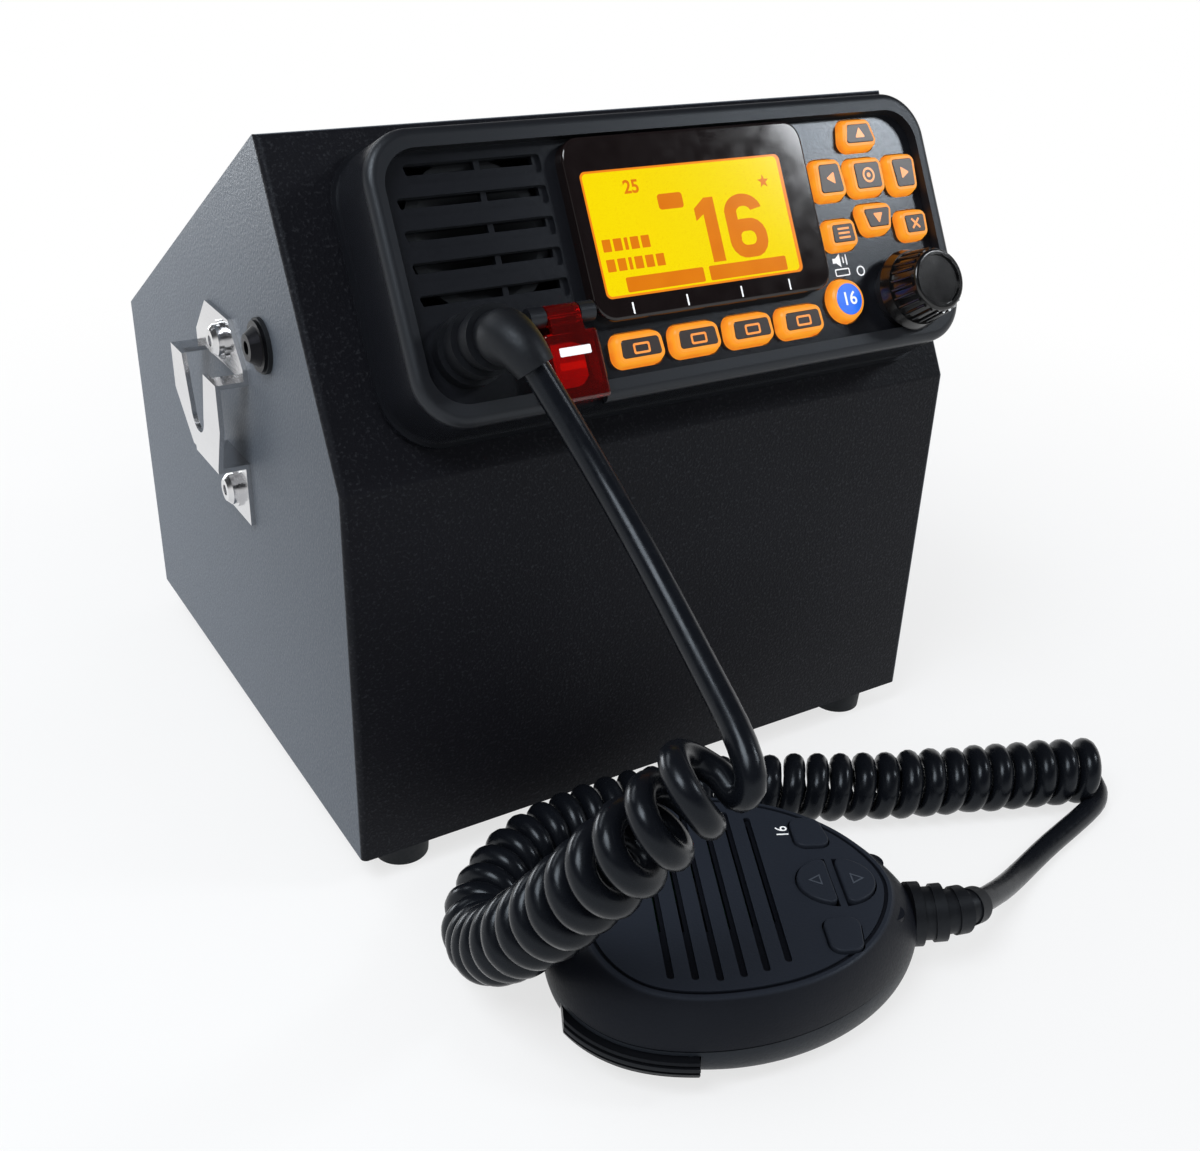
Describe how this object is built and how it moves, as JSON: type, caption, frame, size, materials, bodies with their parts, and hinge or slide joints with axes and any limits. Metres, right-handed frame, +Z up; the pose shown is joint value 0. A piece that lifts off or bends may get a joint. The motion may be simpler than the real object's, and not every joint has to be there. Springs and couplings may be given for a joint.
{
  "type": "marine vhf radio",
  "caption": "Flush-mounted marine VHF radio in a portable desk cabinet with a sloping face, with its fist microphone on a coiled cord lying in front.",
  "frame": {"origin": "on the surface the rubber feet stand on, under the middle of cabinet and microphone together, the cord left out", "axes": "+X to the right of someone facing the radio, +Y away from them, from the microphone to the cabinet's back, +Z up"},
  "size_m": [0.2047, 0.2889, 0.1783],
  "materials": {
    "cabinet_paint": "fine-textured black powder coat",
    "case_plastic": "satin, fine grain",
    "rear_plastic": "satin dark grey",
    "black_rubber": "matte",
    "window_plastic": "polished",
    "display_glass": "lit from behind",
    "key_silicone": "lit orange legends on black",
    "round_key_plastic": "lit blue",
    "cover_plastic": "see-through red",
    "mic_key_plastic": "satin",
    "knob_plastic": "polished",
    "stainless": "polished stainless steel",
    "black_screw": "blackened steel",
    "steel": "zinc plated",
    "die_cast": "black-painted die casting",
    "nickel": "nickel plated",
    "board_laminate": "solder mask",
    "mat_silicone": "translucent silicone",
    "loudspeaker": "coated paper and steel",
    "battery_case": "moulded",
    "cord_jacket": "semi-gloss jacket"
  },
  "bodies": {
    "radio_set": {"cabinet_shell": "cabinet_paint", "rear_cover": "cabinet_paint", "base_plate": "cabinet_paint", "feet": "black_rubber", "foot_screws": "steel", "cover_screws": "black_screw", "battery_pack": "battery_case", "battery_strap": "steel", "antenna_socket": "nickel", "supply_inlet": "nickel", "radio_bezel": "case_plastic", "face_gasket": "black_rubber", "display_window": "window_plastic", "lcd_module": "display_glass", "front_board": "board_laminate", "keypad_mat": "mat_silicone", "speaker": "loudspeaker", "radio_chassis": "die_cast", "bezel_screws": "steel", "side_bolts": "black_screw", "side_washers": "black_rubber", "side_spacers": "steel", "distress_hinge_pin": "steel", "encoder_body": "steel", "mic_hanger": "stainless", "hanger_screws": "stainless", "mic_front_shell": "case_plastic", "mic_rear_shell": "rear_plastic", "mic_case_seal": "black_rubber", "mic_screws": "steel", "mic_hanger_button": "case_plastic", "mic_board": "board_laminate", "mic_keypad_mat": "mat_silicone", "mic_capsule": "steel", "radio_cord_boot": "black_rubber", "mic_cord_boot": "black_rubber", "cord_upper": "cord_jacket", "cord_coil": "cord_jacket", "cord_lower": "cord_jacket"},
    "soft_key_1": {"soft_key_1": "key_silicone"},
    "soft_key_2": {"soft_key_2": "key_silicone"},
    "soft_key_3": {"soft_key_3": "key_silicone"},
    "soft_key_4": {"soft_key_4": "key_silicone"},
    "channel_up_key": {"channel_up_key": "key_silicone"},
    "channel_down_key": {"channel_down_key": "key_silicone"},
    "enter_key": {"enter_key": "key_silicone"},
    "left_key": {"left_key": "key_silicone"},
    "right_key": {"right_key": "key_silicone"},
    "menu_key": {"menu_key": "key_silicone"},
    "clear_key": {"clear_key": "key_silicone"},
    "round_key": {"round_key": "round_key_plastic"},
    "distress_key": {"distress_key": "key_silicone"},
    "distress_cover": {"distress_cover": "cover_plastic"},
    "encoder_shaft": {"encoder_shaft": "steel"},
    "volume_knob": {"volume_knob": "knob_plastic"},
    "ptt_lever": {"ptt_lever": "black_rubber"},
    "mic_channel_key": {"mic_channel_key": "mic_key_plastic"},
    "mic_power_key": {"mic_power_key": "mic_key_plastic"},
    "mic_up_key": {"mic_up_key": "mic_key_plastic"},
    "mic_down_key": {"mic_down_key": "mic_key_plastic"}
  },
  "joints": [
    {"name": "soft_key_1_press", "type": "slide", "parent": "radio_set", "child": "soft_key_1", "axis": [0, 0.8733, -0.4873], "range_m": [0, 0.0008], "stiffness_N_per_m": 1200, "springref_m": -0.0005},
    {"name": "soft_key_2_press", "type": "slide", "parent": "radio_set", "child": "soft_key_2", "axis": [0, 0.8733, -0.4873], "range_m": [0, 0.0008], "stiffness_N_per_m": 1200, "springref_m": -0.0005},
    {"name": "soft_key_3_press", "type": "slide", "parent": "radio_set", "child": "soft_key_3", "axis": [0, 0.8733, -0.4873], "range_m": [0, 0.0008], "stiffness_N_per_m": 1200, "springref_m": -0.0005},
    {"name": "soft_key_4_press", "type": "slide", "parent": "radio_set", "child": "soft_key_4", "axis": [0, 0.8733, -0.4873], "range_m": [0, 0.0008], "stiffness_N_per_m": 1200, "springref_m": -0.0005},
    {"name": "channel_up_key_press", "type": "slide", "parent": "radio_set", "child": "channel_up_key", "axis": [0, 0.8733, -0.4873], "range_m": [0, 0.0008], "stiffness_N_per_m": 1200, "springref_m": -0.0005},
    {"name": "channel_down_key_press", "type": "slide", "parent": "radio_set", "child": "channel_down_key", "axis": [0, 0.8733, -0.4873], "range_m": [0, 0.0008], "stiffness_N_per_m": 1200, "springref_m": -0.0005},
    {"name": "enter_key_press", "type": "slide", "parent": "radio_set", "child": "enter_key", "axis": [0, 0.8733, -0.4873], "range_m": [0, 0.0008], "stiffness_N_per_m": 1200, "springref_m": -0.0005},
    {"name": "left_key_press", "type": "slide", "parent": "radio_set", "child": "left_key", "axis": [0, 0.8733, -0.4873], "range_m": [0, 0.0008], "stiffness_N_per_m": 1200, "springref_m": -0.0005},
    {"name": "right_key_press", "type": "slide", "parent": "radio_set", "child": "right_key", "axis": [0, 0.8733, -0.4873], "range_m": [0, 0.0008], "stiffness_N_per_m": 1200, "springref_m": -0.0005},
    {"name": "menu_key_press", "type": "slide", "parent": "radio_set", "child": "menu_key", "axis": [0, 0.8733, -0.4873], "range_m": [0, 0.0008], "stiffness_N_per_m": 1200, "springref_m": -0.0005},
    {"name": "clear_key_press", "type": "slide", "parent": "radio_set", "child": "clear_key", "axis": [0, 0.8733, -0.4873], "range_m": [0, 0.0008], "stiffness_N_per_m": 1200, "springref_m": -0.0005},
    {"name": "round_key_press", "type": "slide", "parent": "radio_set", "child": "round_key", "axis": [0, 0.8733, -0.4873], "range_m": [0, 0.0008], "stiffness_N_per_m": 1200, "springref_m": -0.0005},
    {"name": "distress_key_press", "type": "slide", "parent": "radio_set", "child": "distress_key", "axis": [0, 0.8733, -0.4873], "range_m": [0, 0.0008], "stiffness_N_per_m": 1200, "springref_m": -0.0005},
    {"name": "distress_cover_hinge", "type": "hinge", "parent": "radio_set", "child": "distress_cover", "pos_m": [-0.0345, -0.04269, 0.14141], "axis": [-1, 0, 0], "range_deg": [0, 100], "stiffness_Nm_per_rad": 0.0008, "springref_deg": -34.38},
    {"name": "knob_push", "type": "slide", "parent": "radio_set", "child": "encoder_shaft", "axis": [0, 0.8733, -0.4873], "range_m": [0, 0.0006], "stiffness_N_per_m": 3000, "springref_m": -0.0006},
    {"name": "knob_turn", "type": "hinge", "parent": "encoder_shaft", "child": "volume_knob", "pos_m": [0.0661, -0.04614, 0.13543], "axis": [0, -0.8733, 0.4873], "continuous": true},
    {"name": "mic_channel_key_press", "type": "slide", "parent": "radio_set", "child": "mic_channel_key", "axis": [0, 0, -1], "range_m": [0, 0.0007], "stiffness_N_per_m": 1200, "springref_m": -0.0005},
    {"name": "mic_power_key_press", "type": "slide", "parent": "radio_set", "child": "mic_power_key", "axis": [0, 0, -1], "range_m": [0, 0.0007], "stiffness_N_per_m": 1200, "springref_m": -0.0005},
    {"name": "mic_up_key_press", "type": "slide", "parent": "radio_set", "child": "mic_up_key", "axis": [0, 0, -1], "range_m": [0, 0.0007], "stiffness_N_per_m": 1200, "springref_m": -0.0005},
    {"name": "mic_down_key_press", "type": "slide", "parent": "radio_set", "child": "mic_down_key", "axis": [0, 0, -1], "range_m": [0, 0.0007], "stiffness_N_per_m": 1200, "springref_m": -0.0005},
    {"name": "ptt_press", "type": "hinge", "parent": "radio_set", "child": "ptt_lever", "pos_m": [-0.05166, -0.13185, 0.009], "axis": [0, 0, -1], "range_deg": [0, 3.5], "stiffness_Nm_per_rad": 0.6, "springref_deg": -1.72}
  ]
}
